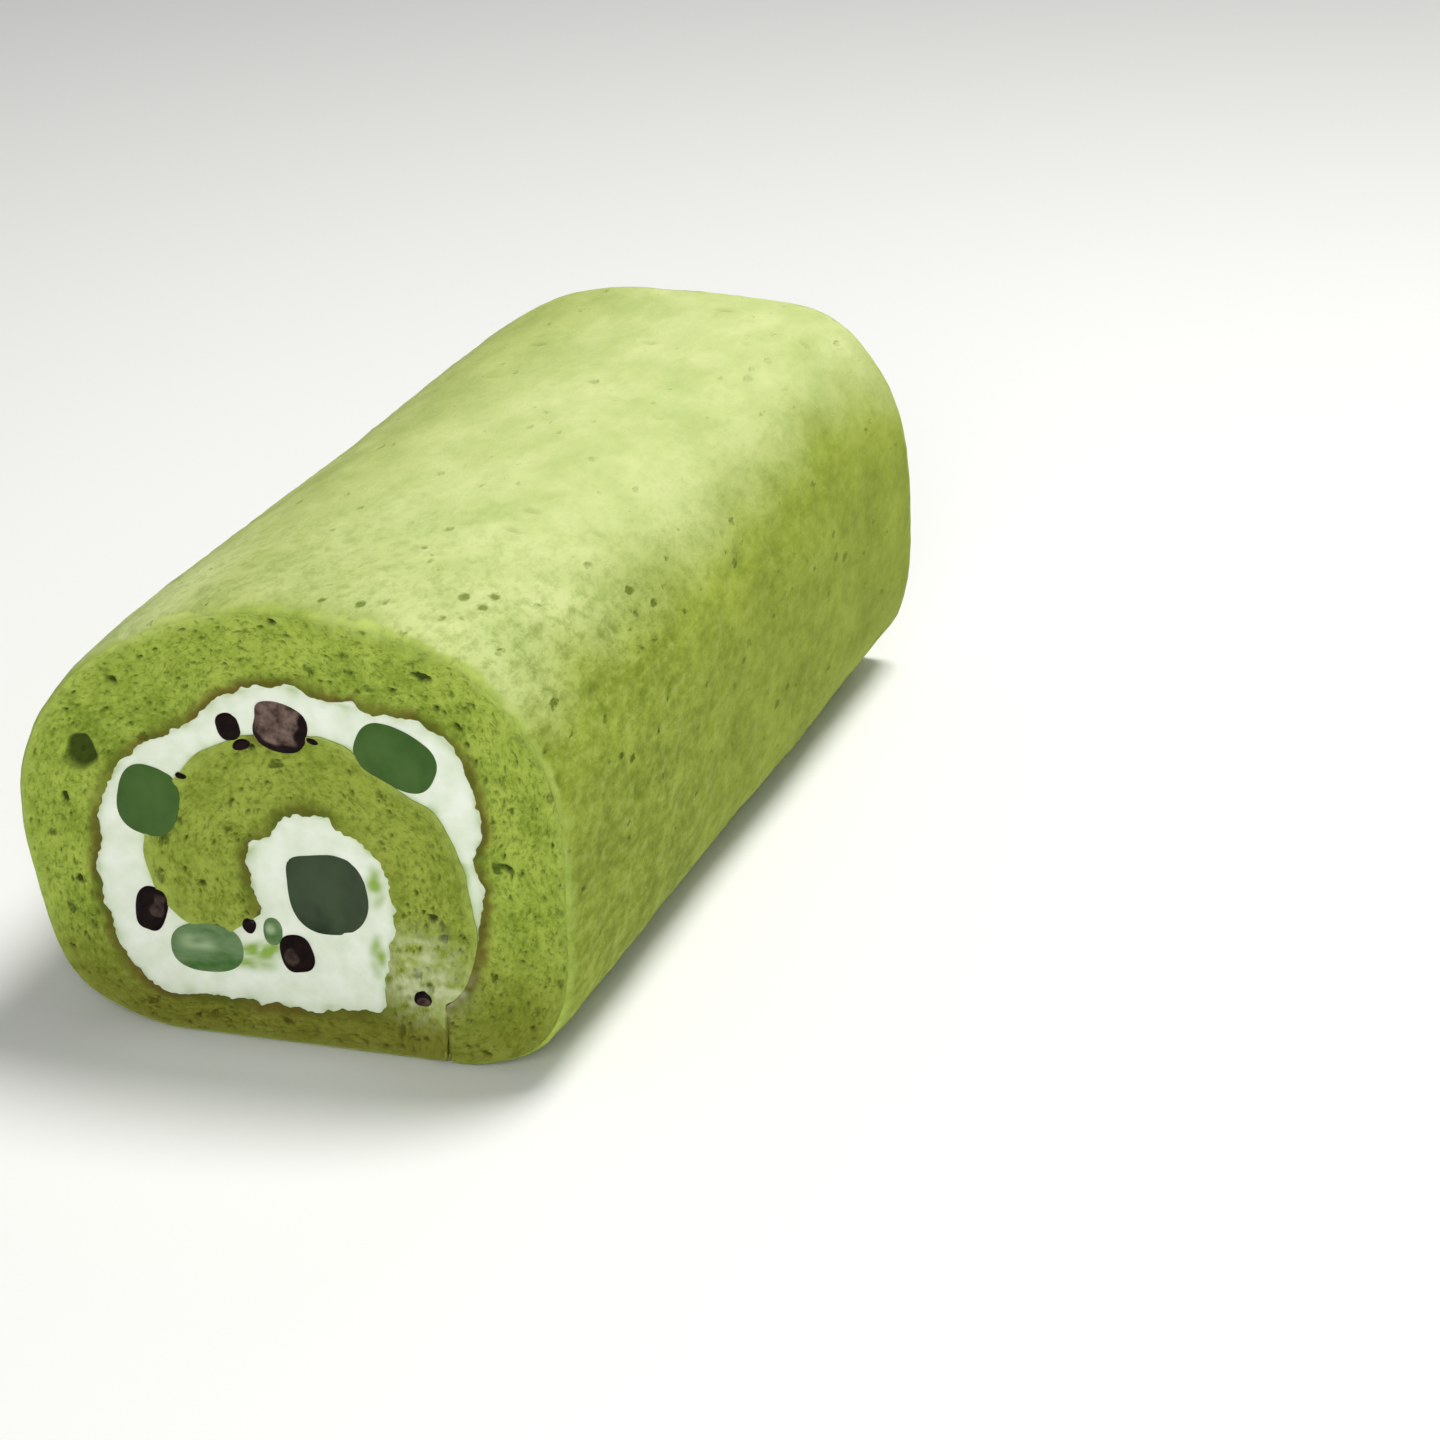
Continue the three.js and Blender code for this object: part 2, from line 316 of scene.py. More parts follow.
# Materials. A pattern's scale is how many of its marks fit in a metre: 1300 is a grain of 0.8 mm, and
# 300 sets bubbles 3.3 mm apart.

crumbColours = {
    "dark": "#7f952e", "light": "#a6b94c", "darkFleck": "#5a7020", "paleFleck": "#b1c35e",
    "bubble": "#475d14", "paleEdge": "#b4c566", "pitShade": "#34430c", "dampAndShade": "#5f5008",
    "crustGreen": "#556116", "crustBrown": "#67561e", "smear": "#c9d1a2",
}
skinColours = {
    "deep": ("#869632", "#9ead43"), "dryCrownAndHighlight": ("#b5c47b", "#cad491"), "torn": ("#9eb04a", "#849a38"),
    "mottle": "#adbb74", "paleSpeck": "#bfca7c", "patch": "#a3b06c", "pinHoleShade": "#a0ac6c",
    "pore": "#4a6014", "dimpleShade": "#566d1e", "paleTorn": "#bccb70",
}
spongeBody = {"Subsurface Weight": 0.1, "Subsurface Scale": 0.001, "Subsurface Radius": (1.0, 1.0, 0.4)}


def crumbMaterial():  # matcha sponge, whipped, baked and cut: matt, torn bubbles with painted shade down in them, in the pits and the hollow, and towards the bottom
    material = newMaterial("bakedMatchaSpongeCut")
    tones = crumbColours
    place = addNode(material, "TexCoord", output="Object")
    sheetPlace = addNode(material, "Attribute", output="Vector", attribute_name="sheetPlace")
    relief, crust, smear, stainAndShade, paleEdge = (
        addNode(material, "Attribute", output="Fac", attribute_name=name)
        for name in ("relief", "crust", "smear", "stainAndShade", "paleEdge")
    )
    unrolled = addNode(material, "Mapping", {"Vector": sheetPlace, "Scale": (0.7, 1, 1)})
    blotches = cloudsAt(material, place, 170, 4, 0.75, 0.35, 0.65)
    fine = addNode(material, "TexNoise", {"Vector": unrolled, "Scale": 1300, "Detail": 3, "Roughness": 0.7})
    darkFlecks = addNode(material, "MapRange", [fine, 0.52, 0.66, 0, 0.62])
    paleFlecks = addNode(material, "MapRange", [fine, 0.47, 0.32, 0, 0.45])
    # Painted shade: the small bubbles are darker down in them.
    bubblePlace = nudged(material, unrolled, place, 1300, 0.0009)
    bubbles = poresAt(material, bubblePlace, 300, 0, (0.2, 1), (-0.02, 0.23), (-0.05, 0.07), 0.85)
    # Painted shade down in the pits and the hollow.
    pits = addNode(material, "MapRange", [relief, 0.1, 0.6, 0, 0.95])
    crustTone = overlaid(material, tones["crustGreen"], (blotches, tones["crustBrown"]))
    colour = overlaid(
        material, tones["dark"], (blotches, tones["light"]), (darkFlecks, tones["darkFleck"]),
        (paleFlecks, tones["paleFleck"]), (bubbles, tones["bubble"]), (paleEdge, tones["paleEdge"]),
        (pits, tones["pitShade"]), (stainAndShade, tones["dampAndShade"]), (crust, crustTone), (smear, tones["smear"]),
    )
    look = {"Base Color": colour, "Roughness": 0.9, "Specular IOR Level": 0.2, **spongeBody}
    depth = addNode(material, "Math", [fine, bubbles], operation="ADD")
    return finishMaterial(material, look, depth, 0.9, invert=True)


def skinMaterial():  # the sheet's outer skin: smooth baked face with pin holes, paler on top, partly where it dried and mostly as a painted highlight where the overhead light falls
    material = newMaterial("bakedMatchaSpongeSkin")
    tones = skinColours
    place = addNode(material, "TexCoord", output="Object")
    relief, dryCrownAndHighlight, rim, paleRim, grain, porous = (
        addNode(material, "Attribute", output="Fac", attribute_name=name)
        for name in ("relief", "dryCrownAndHighlight", "rim", "paleRim", "grain", "porous")
    )
    drawnOut = addNode(material, "Mapping", {"Vector": place, "Scale": (1, 0.5, 1)})
    clouds = cloudsAt(material, drawnOut, 120, 4, 0.6, 0.34, 0.66)
    mottling = {"Vector": drawnOut, "Scale": 560, "Detail": 4, "Roughness": 0.75}
    mottle = addNode(material, "TexNoise", mottling)
    mottles = addNode(material, "MapRange", [mottle, 0.46, 0.66, 0, 0.6])
    specks = addNode(material, "MapRange", [mottle, 0.46, 0.32, 0, 0.3])
    patches = cloudsAt(material, drawnOut, 330, 3, 0.65, 0.5, 0.68, 0, 0.34)
    coarse = addNode(material, "MapRange", [grain, 0.45, 0.95])
    porePlace = nudged(material, drawnOut, drawnOut, 1600, 0.001)
    crowds = cloudsAt(material, place, 55, 2, 0.5, 0.38, 0.66, -0.22, 0.18)
    crowd = addNode(material, "Math", [crowds, porous], operation="ADD")
    # Painted shade: pin holes and pores are darker down in them.
    pins = poresAt(material, porePlace, 380, crowd, (0.5, 1.1), (-0.04, 0.25), (-0.07, 0.09), 1.25)
    pores = poresAt(material, porePlace, 160, crowd, (0.5, 1.1), (-0.03, 0.13), (-0.03, 0.06), 1)
    poreShow = addNode(material, "Math", [grain, 0.75, 0.2], operation="MULTIPLY_ADD")
    mottleShare, speckShare, patchShare, pinShare, poreShare = (
        addNode(material, "Math", pair, operation="MULTIPLY")
        for pair in ((mottles, grain), (specks, grain), (patches, coarse), (pins, grain), (pores, poreShow))
    )
    # Painted shade down in the skin's dents.
    dimples = addNode(material, "MapRange", [relief, 0.1, 0.5, 0, 0.35])
    tornShare = addNode(material, "MapRange", [mottle, 0.4, 0.6])
    deep = overlaid(material, tones["deep"][0], (clouds, tones["deep"][1]))
    # Painted highlight: the pale crown tone, laid over the deep green on top.
    pale = overlaid(material, tones["dryCrownAndHighlight"][0], (clouds, tones["dryCrownAndHighlight"][1]))
    torn = overlaid(material, tones["torn"][0], (tornShare, tones["torn"][1]), (paleRim, tones["paleTorn"]))
    colour = overlaid(
        material, deep, (dryCrownAndHighlight, pale), (mottleShare, tones["mottle"], "MULTIPLY"),
        (speckShare, tones["paleSpeck"]), (patchShare, tones["patch"], "MULTIPLY"),
        (pinShare, tones["pinHoleShade"], "MULTIPLY"), (poreShare, tones["pore"]), (dimples, tones["dimpleShade"]),
        (rim, torn),
    )
    look = {"Base Color": colour, "Roughness": 0.8, "Specular IOR Level": 0.1, **spongeBody}
    pricked = addNode(material, "Math", [mottle, pins], operation="SUBTRACT")
    depth = addNode(material, "Math", [pricked, pores], operation="SUBTRACT")
    return finishMaterial(material, look, depth, 0.6)


def creamMaterial():  # whipped cream, spread and cut with a knife: soft, satin, green where it rubbed
    material = newMaterial("whippedCream")
    place = addNode(material, "TexCoord", output="Object")
    tint = addNode(material, "Attribute", output="Fac", attribute_name="tint")
    clouds = cloudsAt(material, place, 260, 3, 0.5, 0.35, 0.65)
    colour = overlaid(material, "#dde6cf", (clouds, "#ebf1e2"), (tint, "#8aab46"))
    grain = addNode(material, "TexNoise", {"Vector": place, "Scale": 900, "Detail": 3})
    look = {"Base Color": colour, "Roughness": 0.55, "Specular IOR Level": 0.3}
    return finishMaterial(material, look, grain, 0.3, 0.0003)


def jellyMaterial(name, dark, light, cloudScale, cloudShare=1, drawnOut=(1, 1, 0.6)):
    material = newMaterial(name)  # set green tea jelly, sliced: smooth, wet, slightly cloudy, with a painted sheen on its cut face
    place = addNode(material, "TexCoord", output="Object")
    jellySheen = addNode(material, "Attribute", output="Fac", attribute_name="jellySheen")
    drawn = addNode(material, "Mapping", {"Vector": place, "Scale": drawnOut})
    inputs = {"Vector": drawn, "Scale": cloudScale, "Detail": 3, "Roughness": 0.6}
    clouds = addNode(material, "TexNoise", inputs)
    cloudy = addNode(material, "MapRange", [clouds, 0.35, 0.66, 0, cloudShare])
    look = {
        "Base Color": overlaid(material, dark, (cloudy, light), (jellySheen, light)),
        "Roughness": 0.35, "Specular IOR Level": 0.2,
        "Subsurface Weight": 0.15, "Subsurface Scale": 0.0015, "Subsurface Radius": (0.6, 1.0, 0.5),
    }
    return finishMaterial(material, look, clouds, 0.1)


def beanMaterial():  # red bean simmered in syrup: glossy dark skin, mealy inside where it is cut; on two front beans that lighter spot is also a painted highlight
    material = newMaterial("simmeredRedBean")
    place = addNode(material, "TexCoord", output="Object")
    inside = addNode(material, "Attribute", output="Fac", attribute_name="inside")
    clouds = addNode(material, "TexNoise", {"Vector": place, "Scale": 600, "Detail": 3, "Roughness": 0.65})
    cloudy = addNode(material, "MapRange", [clouds, 0.35, 0.65])
    skin = overlaid(material, "#090304", (cloudy, "#1d0d0c"))
    meal = overlaid(material, "#41322c", (cloudy, "#77645a"))
    look = {
        "Base Color": overlaid(material, skin, (inside, meal)),
        "Roughness": addNode(material, "MapRange", [inside, 0, 1, 0.3, 0.8]), "Specular IOR Level": 0.08,
    }
    return finishMaterial(material, look, clouds, 0.35)


# The sponge sheet: its cut faces and the layers between them.

spongeSheet = {
    "along": 960,  # cells along the sheet, about 0.33 mm
    "across": 35,  # and through its thickness
    "layers": [-85, -82.4, -50, 0, 50, 82.4, 85],  # places along the roll
    "skinInset": 0.45,  # the separate skin covers the sheet's outer face
    "innerInset": 0.6,  # and the crumb behind the cut faces keeps this much further in
    "crag": 0.8,  # how ragged the browned side is
    "tearReach": 1.2,  # how far into the crumb a torn side pulls it
    "crustBand": 1.55,  # width of the browned line
    "browning": [  # turn and share: how dark the browned line is
        (-20, 1), (5, 1), (32, 0.75), (55, 0.75), (75, 1), (140, 1), (165, 0.75), (195, 1), (460, 1),
        (505, 1), (540, 0.8),
    ],
    "bubbles": [(2100, 0.18, 0.34, 0.9), (520, 0.34, 0.52, 1), (26, 0.55, 0.85, 1)],  # count, radii, depth
    "deepest": 2.2,
    "frontDents": [  # x, z, width, height, depth, tilt: pits that stand out
        (21, 57.7, 3.6, 1.4, 1.1, -10), (-25.5, 53, 1.9, 1.6, 0.9, 0), (23, 53.5, 1.4, 1.1, 0.7, 0),
        (32.4, 30.7, 3, 1.2, 0.8, -28), (21, 22, 1.8, 1.5, 1.1, 0), (22.5, 19, 1.9, 1.4, 1.1, 20),
        (-14, 23.3, 1.9, 1.5, 0.8, 0), (-3, 39.8, 1.6, 1, 0.6, 0), (-6.8, 38.2, 1.2, 0.8, 0.6, 0),
        (-15.5, 54, 1.3, 0.9, 0.6, 0), (37.5, 27, 1.2, 1.6, 0.5, 0), (12.5, 8.8, 1.6, 1.1, 0.6, 0),
        (1.5, 61.8, 1.5, 0.7, 0.6, 0), (-21, 56.5, 1.5, 0.7, 0.6, 25), (-33, 47.5, 1.3, 1, 0.7, 0),
        (27, 48.5, 1.5, 1.1, 0.6, -30), (24.7, 17.4, 1.1, 0.9, 0.7, 0), (-28, 12.5, 1.3, 0.9, 0.5, 0),
        (34, 17, 1.3, 1, 0.5, 0),
    ],
    "hollow": (-31.4, 41.2, 5.4, 6.4, 1.3, -20),
    "hollowShade": 0.8,
    "seam": (22.3, 0.4),  # where the loose end meets the base: x, width of the line
    "seamTop": (6.5, 8.5),
    "syrup": (-3.6, 46, 1.8, 1.3),  # a brown spill by the beans: x, z, radii
    "smear": (18.7, 13, 6.8, 6.8),  # cream dragged over the crumb
    "smearPocket": (19.5, 11, 4.5, 1.8),
}


def sheetMeasures(cfg):  # the sheet's cells on the cut face, and how far each lies from its sides, in mm
    turns = np.linspace(sheetStart, sheetTip, fineTurns)
    skinPace, crustPace = (
        lengthOf(sideAt(side, turns + 0.2) - sideAt(side, turns - 0.2)) for side in (skinSide, crustSide)
    )
    length = np.cumsum(0.6 * skinPace + 0.4 * crustPace)
    turn = np.interp(np.linspace(length[0], length[-1], cfg["along"] + 1), length, turns)
    slant = 5 * np.clip(1 - (turn - sheetStart) / 25, 0, 1)  # the sheet's own edge stands square on the base
    skinTurn = turn - slant
    covered = cfg["skinInset"] * falling(skinTurn, 299, 309)
    skin = sideAt(skinSide, skinTurn) - outwardAt(skinSide, skinTurn) * covered[:, None]
    crust = sideAt(crustSide, turn + slant)
    v = np.linspace(0, 1, cfg["across"] + 1)[None, :]
    places = crust[:, None] * (1 - v[..., None]) + skin[:, None] * v[..., None]
    thickness = lengthOf(places[:, -1] - places[:, 0])[:, None]
    fromCrust = v * thickness
    bend = (turn > 285) & (turn < 340)  # here the browned side runs nearly along the lines across the sheet
    apart = lengthOf(places[bend][:, :, None] - places[bend][:, 0])
    nearCrust = fromCrust.copy()
    nearCrust[bend] = np.minimum(fromCrust[bend], apart.min(axis=-1))
    middle = places[:, cfg["across"] // 2]
    return {
        "turn": turn,
        "places": places,
        "through": (places[:, -1] - places[:, 0]) / thickness,
        "fromCrust": fromCrust,
        "fromSkin": (1 - v) * thickness,
        "nearCrust": nearCrust,  # the true distance, also in the bend
        "arc": np.concatenate([[0], np.cumsum(lengthOf(np.diff(middle, axis=0)))]),
    }


def addBowl(height, places, at, size, depth, tilt, steep=1, wobble=0.15):
    i, j = at
    radii = size[0] / 2, size[1] / 2
    window = int(max(radii) / 0.25) + 3
    part = (slice(max(0, i - window), i + window + 1), slice(max(0, j - window), j + window + 1))
    offset = places[part] - places[i, j]
    angle = np.arctan2(offset[..., 1], offset[..., 0]) - tilt
    away = lengthOf(offset)
    reach = np.hypot(away * np.cos(angle) / radii[0], away * np.sin(angle) / radii[1])
    reach *= 1 + wobble * (np.cos(3 * angle + i) + 0.6 * np.cos(5 * angle + j))
    bowl = np.where(reach < 1, depth * (1 - reach ** (2 * steep)) ** 1.5, 0)
    height[part] = np.maximum(height[part], bowl)


def bubbleRelief(places, seed, cfg):  # depth of the torn bubbles on a cut face, in mm
    n, m = places.shape[0] - 1, places.shape[1] - 1
    height = np.zeros((n + 1, m + 1))
    draw = random.Random(seed)
    for count, low, high, deep in cfg["bubbles"]:
        for _ in range(count):
            i, j = draw.randint(2, n - 2), draw.randint(1, m - 1)
            radius = draw.uniform(low, high)
            along = places[i + 1, j] - places[i - 1, j]
            tilt = math.atan2(along[1], along[0]) + draw.gauss(0, 0.3)
            stretch = draw.uniform(1.0, 2.6)
            size = (2 * radius * math.sqrt(stretch), 2 * radius / math.sqrt(stretch))
            addBowl(height, places, (i, j), size, radius * deep * draw.uniform(0.7, 1.3), tilt)
    return height


def nearestCell(places, x, z):
    return np.unravel_index(lengthOf(places - (x, z)).argmin(), places.shape[:2])


def tornSide(line, seed):  # how far a torn border wanders, in mm
    torn = softNoise(line, 4.5, seed) * 0.6 + softNoise(line, 1.9, seed + 10) * 0.6
    torn = torn + softNoise(line, 0.8, seed + 20) * 0.3
    notches = np.maximum(0, softNoise(line, 2.6, seed + 30) - 0.4)  # a few sharp ones, full of cream
    return torn + 1.8 * notches


def cutFace(cfg, sheet, seed, y):  # where the knife left the crumb: its cells, their depth, and the painted shade of its pits and hollow
    turn, places, arc = sheet["turn"], sheet["places"], sheet["arc"]
    fromCrust, fromSkin = sheet["fromCrust"], sheet["fromSkin"]
    crustLine, skinLine = (np.insert(places[:, k], 1, y, axis=1) for k in (0, -1))
    torn = cfg["crag"] * tornSide(crustLine, seed) * smooth01(turn, -30, -8)
    wavy = 0.25 * softNoise(skinLine, 3.5, seed + 40) * smooth01(turn, 340, 350)
    rim = sideAt(skinSide, turn)
    wavy += skinSwell(np.insert(rim, 1, y, axis=1)) * smooth01(rim[:, 1], 0.3, 4) * (turn < layersPart)
    pull = torn[:, None] * np.exp(-fromCrust / cfg["tearReach"])
    pull = pull + wavy[:, None] * np.exp(-fromSkin / cfg["tearReach"])
    face = places + sheet["through"][:, None] * pull[..., None]
    pits = bubbleRelief(face, seed, cfg)
    hollow, shade = np.zeros_like(pits), np.zeros_like(pits)
    if y < 0:
        for x, z, width, tall, depth, tilt in cfg["frontDents"]:
            addBowl(pits, face, nearestCell(face, x, z), (width, tall), depth, math.radians(tilt))
        x, z, width, tall, depth, tilt = cfg["hollow"]
        middle, tilt = nearestCell(face, x, z), math.radians(tilt)
        addBowl(hollow, face, middle, (width, tall), depth, tilt, 2, 0.08)
        # The hollow's painted shade: dark down in the bowl, darker still towards its upper right.
        addBowl(shade, face, middle, (width, tall), cfg["hollowShade"], tilt, 3, 0.08)
        shade *= 0.95 + 0.25 * np.clip((face[..., 0] - x + face[..., 1] - z) / 4, -1, 1)
    flat = np.insert(face.reshape(-1, 2), 1, y, axis=1)
    unrolled = np.stack([np.repeat(arc, cfg["across"] + 1) / 1.8, fromCrust.ravel(), flat[:, 1]], -1)
    crumb = 0.28 * (1 - cellNoise(unrolled, 0.9, seed)) + 0.12 * softNoise(unrolled, 2.2, seed + 3) + 0.06
    atSkin = np.where(turn[:, None] > layersPart, smooth01(fromSkin, 0.7, 1.6), smooth01(fromSkin, 0.1, 0.6))
    calm = smooth01(sheet["nearCrust"], 1.0, 2.1) * atSkin  # the sheet's borders stay whole
    calm = calm * smooth01(arc[-1] - arc, 0.5, 1.5)[:, None]
    sunk = hollow + 0.03 + (pits + np.maximum(0, crumb).reshape(pits.shape)) * calm
    sunk += 0.1 * softNoise(flat, 9, seed + 5).reshape(pits.shape) * calm
    return face, np.minimum(sunk, cfg["deepest"]), np.maximum(pits * calm, shade)


def markSponge(mesh, cfg, sheet, i, j, x, y, z, relief, onFront):  # what the crumb's colours read
    turn = sheet["turn"][i]
    fromCrust, fromSkin, nearCrust = (sheet[key][i, j] for key in ("fromCrust", "fromSkin", "nearCrust"))
    drawnOut = np.stack([x, y * 0.2, z], -1)
    level = np.stack([x, y * 0, z], -1)
    edge = nearCrust + 0.45 * softNoise(drawnOut, 1.1, 50)
    browned = np.exp(-(np.maximum(0, edge) / cfg["crustBand"]) ** 3)
    patchy = np.clip(straightStations(cfg["browning"], turn) + 0.3 * softNoise(drawnOut, 5, 51), 0.4, 1)
    inHeart = smooth01(turn, 288, 303) * falling(turn, 400, 445)  # hardly browned at its right
    spill = 0.75 * patchAt(x, z, cfg["syrup"]) * onFront
    giveAttribute(mesh, "crust", np.maximum(browned * patchy * (1 - 0.8 * inHeart), spill))
    seamX, seamWidth = cfg["seam"]
    seam = np.exp(-(((x - seamX) / seamWidth) ** 2)) * falling(z, *cfg["seamTop"]) * onFront
    # relief holds the painted shade of the pits and the hollow, and the dark seam line.
    giveAttribute(mesh, "relief", np.maximum(relief, 0.45 * seam))
    dragged = np.stack([x / 1.6, y * 0, z - 0.1 * x], -1)
    streak = softNoise(dragged, 1.3, 60) + 0.5 * softNoise(level, 0.8, 61)
    zone, pocket = patchAt(x, z, cfg["smear"]) * onFront, patchAt(x, z, cfg["smearPocket"]) * onFront
    smear = zone * (0.4 + 0.5 * streak) + pocket * (0.4 + 0.3 * streak)
    giveAttribute(mesh, "smear", np.clip(smear, 0, 0.85))
    pale = np.exp(-((fromSkin / 1.3) ** 2)) * straightStations(roll["paleRim"], turn)
    giveAttribute(mesh, "paleEdge", np.clip(pale * (0.9 + 0.6 * softNoise(level, 1.5, 52)), 0, 0.9))
    underCream = 0.35 * np.exp(-fromCrust / 1.6) * smooth01(turn, 232, 245) * falling(turn, 275, 300)
    # Painted shade: the crumb darkens towards the bottom of the cut face, higher up on the left, where shade
    # falls near the floor. It shares the damp tone with the real damp band under the cream.
    low = np.where(turn < 40, 0.5 * falling(z, 0, 26), 0.64 * falling(z, 1, 21))
    dampAndShade = np.maximum(underCream, low * (turn < 310))
    giveAttribute(mesh, "stainAndShade", np.maximum(np.maximum(0.6 * seam, 0.18 * (turn > 308)), dampAndShade))
    sheetPlace = mesh.attributes.new("sheetPlace", "FLOAT_VECTOR", "POINT")
    sheetPlace.data.foreach_set("vector", (np.stack([sheet["arc"][i], fromCrust, y], -1) * mm).ravel())


def makeSponge():
    cfg = spongeSheet
    layers = np.array(cfg["layers"], float)
    mesh, i, j, layer = layeredGrid(cfg["along"], cfg["across"], len(layers))
    sheet = sheetMeasures(cfg)
    front, rear = cutFace(cfg, sheet, 1, -halfLength), cutFace(cfg, sheet, 2, halfLength)
    onFront, onRear = layer == 0, layer == len(layers) - 1
    face = np.where((layer < len(layers) / 2)[:, None], front[0][i, j], rear[0][i, j])
    sunk, relief = (np.where(onFront, front[k][i, j], np.where(onRear, rear[k][i, j], 0)) for k in (1, 2))
    y = layers[layer]
    behindSkin = (np.abs(y) < halfLength - 1) & (sheet["turn"][i] < layersPart)
    inward = cfg["innerInset"] * np.exp(-sheet["fromSkin"][i, j] / 1.5) * behindSkin
    face = face - sheet["through"][i] * inward[:, None]
    y -= np.sign(y) * sunk
    x, z = settle(face[:, 0], y, face[:, 1])
    setCoords(mesh, x, y, z)
    markSponge(mesh, cfg, sheet, i, j, x, y, z, relief, onFront)
    finishPiece(mesh, "spongeCrumb", crumbMaterial(), ["sponge_sheet"])


# The sheet's outer skin.

spongeSkin = {
    "around": 330,  # cells
    "along": 250,
    "backCells": 5,  # its hidden side has a cell for this many
    "thickness": 1.2,
    "cutBack": 0.12,  # its rim ends this far behind the cut
    "rimDepth": 0.8,  # the soft cut rim: how far back it starts
    "rimInset": 0.5,  # how far in it turns
    "rimPath": 1.03,  # and the length of its rounded edge
    "startTurn": -54.6,
    "endTurn": 308,
    "dimples": 70,
    "dimpleSize": (1.1, 2.2),
    "dimpleDepth": 0.22,  # for each mm of size
    "rimWidths": [  # turn and share: how wide the torn rim shows
        (-50, 0.6), (27, 0.4), (42, 0.6), (57, 0.3), (72, 0.55), (84, 0.9), (90, 0.9), (100, 0.2),
        (130, 0.05), (180, 0.6), (300, 0.6),
    ],
}


def skinShell(cfg):  # a fine grid outside, a coarse one behind it, joined at their borders
    bm = bmesh.new()
    around, along = cfg["around"], cfg["along"]
    bmesh.ops.create_grid(bm, x_segments=around, y_segments=along, size=0.5)
    bmesh.ops.create_grid(
        bm, x_segments=around // cfg["backCells"], y_segments=along // cfg["backCells"], size=0.5,
        matrix=Matrix.Translation((0, 0, -1)),
    )
    bmesh.ops.bridge_loops(bm, edges=[edge for edge in bm.edges if edge.is_boundary])
    return newMesh("skin", bm)


def skinDimples(cfg, points):
    dents = np.zeros(len(points))
    draw = random.Random(8)
    for _ in range(cfg["dimples"]):
        at = points[draw.randrange(len(points))]
        size = draw.uniform(*cfg["dimpleSize"])
        reach = (((points - at) / (size * 1.2, size, size * 1.2)) ** 2).sum(axis=-1)
        dents = np.maximum(dents, np.where(reach < 1, cfg["dimpleDepth"] * size * (1 - reach) ** 1.5, 0))
    return dents


def markSkin(mesh, cfg, points, turn, depth, facing):  # facing: 0 to the right, 90 up, 180 to the left
    y = points[:, 1]
    ragged = depth + 0.9 * softNoise(points, 1.6, 12) + 1.1 * softNoise(points, 5, 13)
    width = straightStations(cfg["rimWidths"], turn)
    wideRim = falling(depth, 0.3, 0.9) * smooth01(width, 0.5, 0.9)
    giveAttribute(mesh, "rim", np.maximum(falling(ragged, 0.5, 0.5 + 2.6 * width), wideRim))
    giveAttribute(mesh, "paleRim", straightStations(roll["paleRim"], turn))
    # The pale crown tone lies on top: partly dried skin, mostly a painted highlight where the overhead light
    # falls. It is thinner on the left, along the right shoulder and in front, which paints shade there.
    reach = facing + 7 * softNoise(points, 14, 14)
    reach = reach + 11 * smooth01(y, 45, 80) + 4 * falling(y, -80, -60)
    nearLeft = smooth01(facing, 98, 120) * falling(y, -80, -35)
    farLeft = smooth01(y, 10, 70) * smooth01(facing, 88, 106) * falling(facing, 112, 122)
    leftFade = 0.4 * smooth01(facing, 82, 112) * (1 - nearLeft) + 0.15 * farLeft
    edgeTop = smooth01(facing, 72, 82) * falling(facing, 92, 104)
    edgeFade = 0.18 * smooth01(facing, 44, 62) + 0.22 * edgeTop
    frontTop = smooth01(facing, 72, 92) * falling(facing, 100, 116) * falling(y, -82, -45)
    dryCrownAndHighlight = smooth01(reach, 24, 66) * falling(facing, 126, 172) * (1 - leftFade)
    dryCrownAndHighlight *= (1 - edgeFade * falling(y, -84, -78)) * (1 - 0.15 * frontTop)
    giveAttribute(mesh, "dryCrownAndHighlight", dryCrownAndHighlight + 0.25 * nearLeft * falling(facing, 122, 150))
    # The grain is coarsest in front and on the flanks, the pores along the right shoulder.
    flank = falling(facing, 30, 75) + smooth01(facing, 150, 185)
    grain = 0.16 + 0.55 * falling(y, -75, -15) + flank * (0.44 + 0.3 * falling(y, -60, 0))
    giveAttribute(mesh, "grain", np.clip(grain * (1 - 0.4 * smooth01(y, 10, 80)), 0, 1))
    porous = 0.3 * falling(y, -40, 50) + 0.26 * falling(y, -74, -48)
    giveAttribute(mesh, "porous", np.exp(-(((facing - 38) / 26) ** 2)) * porous)


